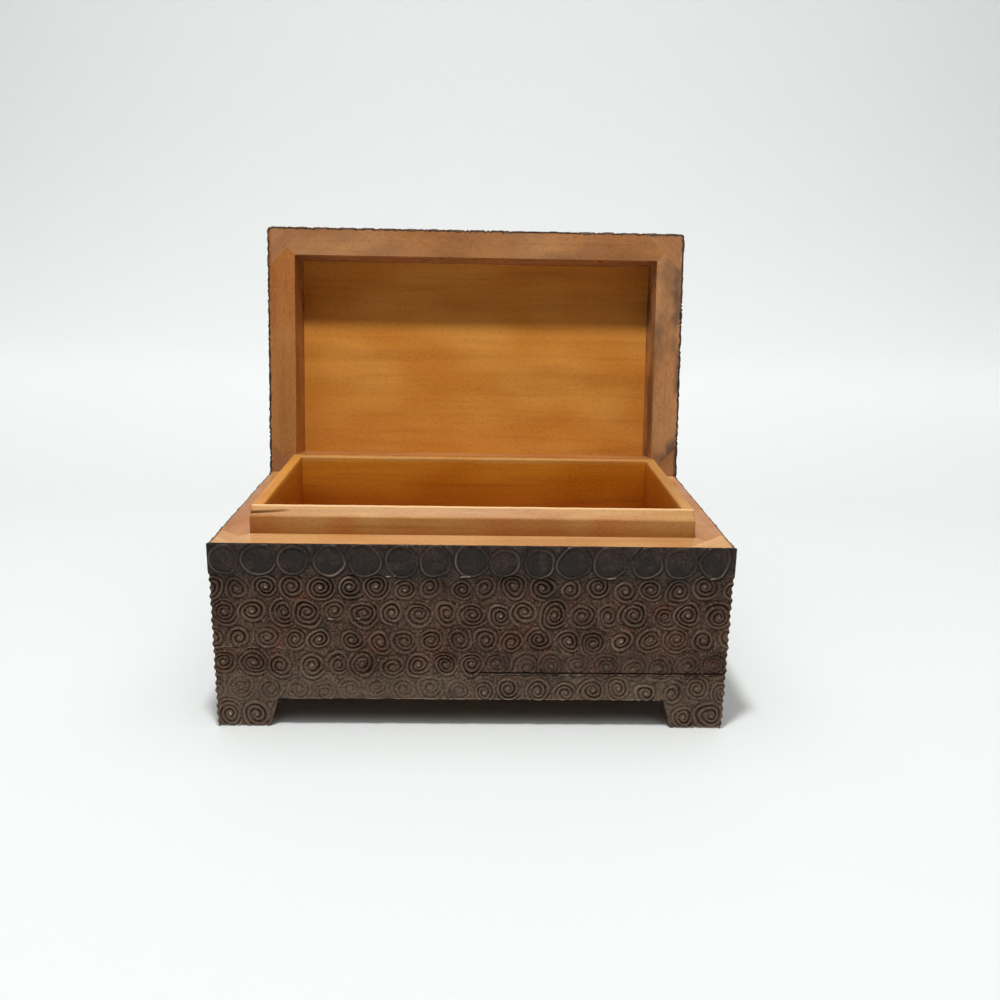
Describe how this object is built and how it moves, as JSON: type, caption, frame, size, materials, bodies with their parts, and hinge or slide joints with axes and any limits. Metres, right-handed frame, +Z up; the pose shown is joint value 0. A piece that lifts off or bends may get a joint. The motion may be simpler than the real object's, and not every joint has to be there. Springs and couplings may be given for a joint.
{
  "type": "trinket box",
  "caption": "Hinged wooden keepsake box, dark and carved with spirals outside, bare wood inside, on bracket feet, with a lipped lining that the lid closes over.",
  "frame": {"origin": "on the surface it stands on, at the centre of the base's outline", "axes": "+X along the width to the right seen from the front, the front faces -Y, +Z up; the lid is open at rest"},
  "size_m": [0.178, 0.1499, 0.1703],
  "materials": {
    "base_wood": "carved, dark stained and waxed outside, bare at the rim",
    "plinth_wood": "carved, dark stained and waxed",
    "lining_wood": "planed, thin clear oil",
    "lid_wood": "carved, dark stained outside; bare and oiled inside",
    "key_wood": "sawn flush, darker than the boards",
    "hinge_brass": "dull, handled",
    "hinge_pin_brass": "drawn wire"
  },
  "bodies": {
    "base": {"base_front": "base_wood", "base_right": "base_wood", "base_back": "base_wood", "base_left": "base_wood", "plinth_front": "plinth_wood", "plinth_right": "plinth_wood", "plinth_back": "plinth_wood", "plinth_left": "plinth_wood", "bottom_panel": "lining_wood", "liner_front": "lining_wood", "liner_right": "lining_wood", "liner_back": "lining_wood", "liner_left": "lining_wood", "base_key_front_left": "key_wood", "base_key_front_right": "key_wood", "base_key_back_right": "key_wood", "base_key_back_left": "key_wood", "hinge_left_base_leaf": "hinge_brass", "hinge_left_pin": "hinge_pin_brass", "hinge_right_base_leaf": "hinge_brass", "hinge_right_pin": "hinge_pin_brass", "base_hinge_screws": "hinge_brass"},
    "lid": {"lid_front": "lid_wood", "lid_right": "lid_wood", "lid_back": "lid_wood", "lid_left": "lid_wood", "lid_top": "lid_wood", "lid_key_front_left": "key_wood", "lid_key_front_right": "key_wood", "lid_key_back_right": "key_wood", "lid_key_back_left": "key_wood", "hinge_left_lid_leaf": "hinge_brass", "hinge_right_lid_leaf": "hinge_brass", "lid_hinge_screws": "hinge_brass"}
  },
  "joints": [
    {"name": "lid_hinge", "type": "hinge", "parent": "base", "child": "lid", "pos_m": [0, 0.05, 0.06745], "axis": [1, 0, 0], "range_deg": [0, 98.5]}
  ]
}
